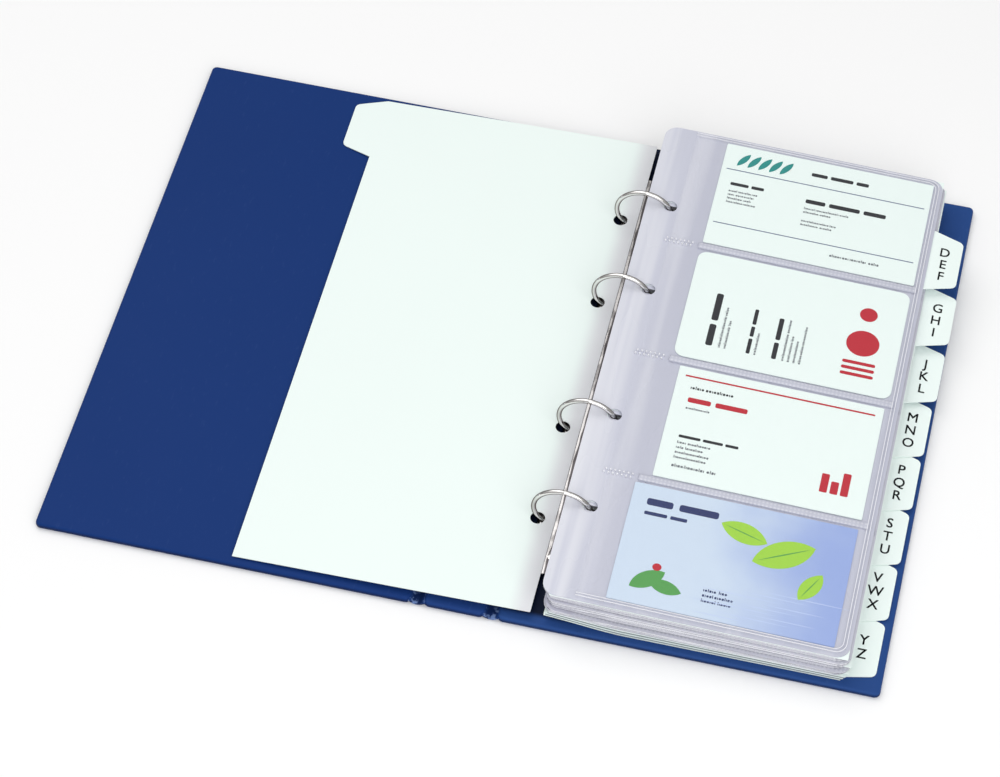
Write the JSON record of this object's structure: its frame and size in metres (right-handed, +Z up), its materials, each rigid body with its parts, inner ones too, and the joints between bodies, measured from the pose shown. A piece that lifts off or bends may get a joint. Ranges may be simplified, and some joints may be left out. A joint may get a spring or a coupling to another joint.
{
  "type": "business card album",
  "caption": "Open ring album for business cards: folding foil covers, round rings, pocket pages with cards and index dividers with lettered tabs.",
  "frame": {"origin": "on the table under the ring axis, halfway up the page: the underside of the back cover", "axes": "+X across the open album to the back cover's outer edge, +Y up the page, +Z up from the table"},
  "size_m": [0.3217, 0.247, 0.0261],
  "materials": {
    "navy_foil": "fine-grained satin PVC foil",
    "grey_board": "raw grey board",
    "nickel": "bright nickel plating",
    "index_plastic": "smooth matt white polypropylene",
    "clear_film": "clear glossy film with a slight lilac tint",
    "printed_card": "smooth printed card"
  },
  "bodies": {
    "back_cover": {"back_cover_foil_outer": "navy_foil", "back_cover_board": "grey_board", "back_cover_foil_inner": "navy_foil", "film_hinge_back": "navy_foil", "ring_plate": "nickel", "plate_rivet_1": "nickel", "plate_rivet_2": "nickel"},
    "spine": {"spine_foil_outer": "navy_foil", "spine_board": "grey_board", "spine_foil_inner": "navy_foil", "film_hinge_front": "navy_foil"},
    "front_cover": {"front_cover_foil_outer": "navy_foil", "front_cover_board": "grey_board", "front_cover_foil_inner": "navy_foil"},
    "rings_left": {"ring_blade_left": "nickel", "half_ring_left_1": "nickel", "half_ring_left_2": "nickel", "half_ring_left_3": "nickel", "half_ring_left_4": "nickel"},
    "rings_right": {"ring_blade_right": "nickel", "half_ring_right_1": "nickel", "half_ring_right_2": "nickel", "half_ring_right_3": "nickel", "half_ring_right_4": "nickel"},
    "divider_abc": {"divider_abc": "index_plastic"},
    "card_page_top": {"card_page_top": "clear_film"},
    "divider_def": {"divider_def": "index_plastic"},
    "card_page_10": {"card_page_10": "clear_film"},
    "card_page_09": {"card_page_09": "clear_film"},
    "card_page_08": {"card_page_08": "clear_film"},
    "card_page_07": {"card_page_07": "clear_film"},
    "divider_ghi": {"divider_ghi": "index_plastic"},
    "card_page_06": {"card_page_06": "clear_film"},
    "card_page_05": {"card_page_05": "clear_film"},
    "card_page_04": {"card_page_04": "clear_film"},
    "card_page_03": {"card_page_03": "clear_film"},
    "divider_jkl": {"divider_jkl": "index_plastic"},
    "card_page_02": {"card_page_02": "clear_film"},
    "card_page_01": {"card_page_01": "clear_film"},
    "divider_mno": {"divider_mno": "index_plastic"},
    "divider_pqr": {"divider_pqr": "index_plastic"},
    "divider_stu": {"divider_stu": "index_plastic"},
    "divider_vwx": {"divider_vwx": "index_plastic"},
    "divider_yz": {"divider_yz": "index_plastic"},
    "card_1": {"card_1": "printed_card"},
    "card_2": {"card_2": "printed_card"},
    "card_3": {"card_3": "printed_card"},
    "card_4": {"card_4": "printed_card"}
  },
  "joints": [
    {"name": "spine_fold", "type": "hinge", "parent": "back_cover", "child": "spine", "pos_m": [-0.017, 0, 0.001], "axis": [0, 1, 0], "range_deg": [0, 90], "deforming": ["film_hinge_back"]},
    {"name": "front_fold", "type": "hinge", "parent": "spine", "child": "front_cover", "pos_m": [-0.045, 0, 0.001], "axis": [0, 1, 0], "range_deg": [0, 90], "deforming": ["film_hinge_front"]},
    {"name": "abc_turn", "type": "hinge", "parent": "back_cover", "child": "divider_abc", "pos_m": [0, 0, 0.014], "axis": [0, 1, 0], "range_deg": [0, 180]},
    {"name": "ring_open", "type": "hinge", "parent": "back_cover", "child": "rings_right", "pos_m": [0.0083, 0, 0.00365], "axis": [0, -1, 0], "range_deg": [-9, 0]},
    {"name": "ring_open_left", "type": "hinge", "parent": "back_cover", "child": "rings_left", "pos_m": [-0.0083, 0, 0.00365], "axis": [0, 1, 0], "range_deg": [-9, 0]},
    {"name": "leaf_fan", "type": "hinge", "parent": "back_cover", "child": "card_page_top", "pos_m": [0, 0, 0.0139], "axis": [0, 1, 0], "range_deg": [-160, 0]},
    {"name": "turn_divider_def", "type": "hinge", "parent": "back_cover", "child": "divider_def", "pos_m": [0, 0, 0.0139], "axis": [0, 1, 0], "range_deg": [-152, 0]},
    {"name": "turn_card_page_10", "type": "hinge", "parent": "back_cover", "child": "card_page_10", "pos_m": [0, 0, 0.0139], "axis": [0, 1, 0], "range_deg": [-144, 0]},
    {"name": "turn_card_page_09", "type": "hinge", "parent": "back_cover", "child": "card_page_09", "pos_m": [0, 0, 0.0139], "axis": [0, 1, 0], "range_deg": [-136, 0]},
    {"name": "turn_card_page_08", "type": "hinge", "parent": "back_cover", "child": "card_page_08", "pos_m": [0, 0, 0.0139], "axis": [0, 1, 0], "range_deg": [-128, 0]},
    {"name": "turn_card_page_07", "type": "hinge", "parent": "back_cover", "child": "card_page_07", "pos_m": [0, 0, 0.0139], "axis": [0, 1, 0], "range_deg": [-120, 0]},
    {"name": "turn_divider_ghi", "type": "hinge", "parent": "back_cover", "child": "divider_ghi", "pos_m": [0, 0, 0.0139], "axis": [0, 1, 0], "range_deg": [-112, 0]},
    {"name": "turn_card_page_06", "type": "hinge", "parent": "back_cover", "child": "card_page_06", "pos_m": [0, 0, 0.0139], "axis": [0, 1, 0], "range_deg": [-104, 0]},
    {"name": "turn_card_page_05", "type": "hinge", "parent": "back_cover", "child": "card_page_05", "pos_m": [0, 0, 0.0139], "axis": [0, 1, 0], "range_deg": [-96, 0]},
    {"name": "turn_card_page_04", "type": "hinge", "parent": "back_cover", "child": "card_page_04", "pos_m": [0, 0, 0.0139], "axis": [0, 1, 0], "range_deg": [-88, 0]},
    {"name": "turn_card_page_03", "type": "hinge", "parent": "back_cover", "child": "card_page_03", "pos_m": [0, 0, 0.0139], "axis": [0, 1, 0], "range_deg": [-80, 0]},
    {"name": "turn_divider_jkl", "type": "hinge", "parent": "back_cover", "child": "divider_jkl", "pos_m": [0, 0, 0.0139], "axis": [0, 1, 0], "range_deg": [-72, 0]},
    {"name": "turn_card_page_02", "type": "hinge", "parent": "back_cover", "child": "card_page_02", "pos_m": [0, 0, 0.0139], "axis": [0, 1, 0], "range_deg": [-64, 0]},
    {"name": "turn_card_page_01", "type": "hinge", "parent": "back_cover", "child": "card_page_01", "pos_m": [0, 0, 0.0139], "axis": [0, 1, 0], "range_deg": [-56, 0]},
    {"name": "turn_divider_mno", "type": "hinge", "parent": "back_cover", "child": "divider_mno", "pos_m": [0, 0, 0.0139], "axis": [0, 1, 0], "range_deg": [-48, 0]},
    {"name": "turn_divider_pqr", "type": "hinge", "parent": "back_cover", "child": "divider_pqr", "pos_m": [0, 0, 0.0139], "axis": [0, 1, 0], "range_deg": [-40, 0]},
    {"name": "turn_divider_stu", "type": "hinge", "parent": "back_cover", "child": "divider_stu", "pos_m": [0, 0, 0.0139], "axis": [0, 1, 0], "range_deg": [-32, 0]},
    {"name": "turn_divider_vwx", "type": "hinge", "parent": "back_cover", "child": "divider_vwx", "pos_m": [0, 0, 0.0139], "axis": [0, 1, 0], "range_deg": [-24, 0]},
    {"name": "turn_divider_yz", "type": "hinge", "parent": "back_cover", "child": "divider_yz", "pos_m": [0, 0, 0.0139], "axis": [0, 1, 0], "range_deg": [-16, 0]},
    {"name": "card_1_slide", "type": "slide", "parent": "card_page_top", "child": "card_1", "axis": [0.9996, 0, -0.0286], "range_m": [-0.0105, 0]},
    {"name": "card_2_slide", "type": "slide", "parent": "card_page_top", "child": "card_2", "axis": [0.9996, 0, -0.0286], "range_m": [-0.0105, 0]},
    {"name": "card_3_slide", "type": "slide", "parent": "card_page_top", "child": "card_3", "axis": [0.9996, 0, -0.0286], "range_m": [-0.0105, 0]},
    {"name": "card_4_slide", "type": "slide", "parent": "card_page_top", "child": "card_4", "axis": [0.9996, 0, -0.0286], "range_m": [-0.0105, 0]}
  ],
  "couplings": [
    {"joint": "front_fold", "follows": "spine_fold", "ratio": 1},
    {"joint": "abc_turn", "follows": "spine_fold", "ratio": 2},
    {"joint": "ring_open_left", "follows": "ring_open", "ratio": 1},
    {"joint": "turn_divider_def", "follows": "leaf_fan", "ratio": 0.95},
    {"joint": "turn_card_page_10", "follows": "leaf_fan", "ratio": 0.9},
    {"joint": "turn_card_page_09", "follows": "leaf_fan", "ratio": 0.85},
    {"joint": "turn_card_page_08", "follows": "leaf_fan", "ratio": 0.8},
    {"joint": "turn_card_page_07", "follows": "leaf_fan", "ratio": 0.75},
    {"joint": "turn_divider_ghi", "follows": "leaf_fan", "ratio": 0.7},
    {"joint": "turn_card_page_06", "follows": "leaf_fan", "ratio": 0.65},
    {"joint": "turn_card_page_05", "follows": "leaf_fan", "ratio": 0.6},
    {"joint": "turn_card_page_04", "follows": "leaf_fan", "ratio": 0.55},
    {"joint": "turn_card_page_03", "follows": "leaf_fan", "ratio": 0.5},
    {"joint": "turn_divider_jkl", "follows": "leaf_fan", "ratio": 0.45},
    {"joint": "turn_card_page_02", "follows": "leaf_fan", "ratio": 0.4},
    {"joint": "turn_card_page_01", "follows": "leaf_fan", "ratio": 0.35},
    {"joint": "turn_divider_mno", "follows": "leaf_fan", "ratio": 0.3},
    {"joint": "turn_divider_pqr", "follows": "leaf_fan", "ratio": 0.25},
    {"joint": "turn_divider_stu", "follows": "leaf_fan", "ratio": 0.2},
    {"joint": "turn_divider_vwx", "follows": "leaf_fan", "ratio": 0.15},
    {"joint": "turn_divider_yz", "follows": "leaf_fan", "ratio": 0.1}
  ]
}
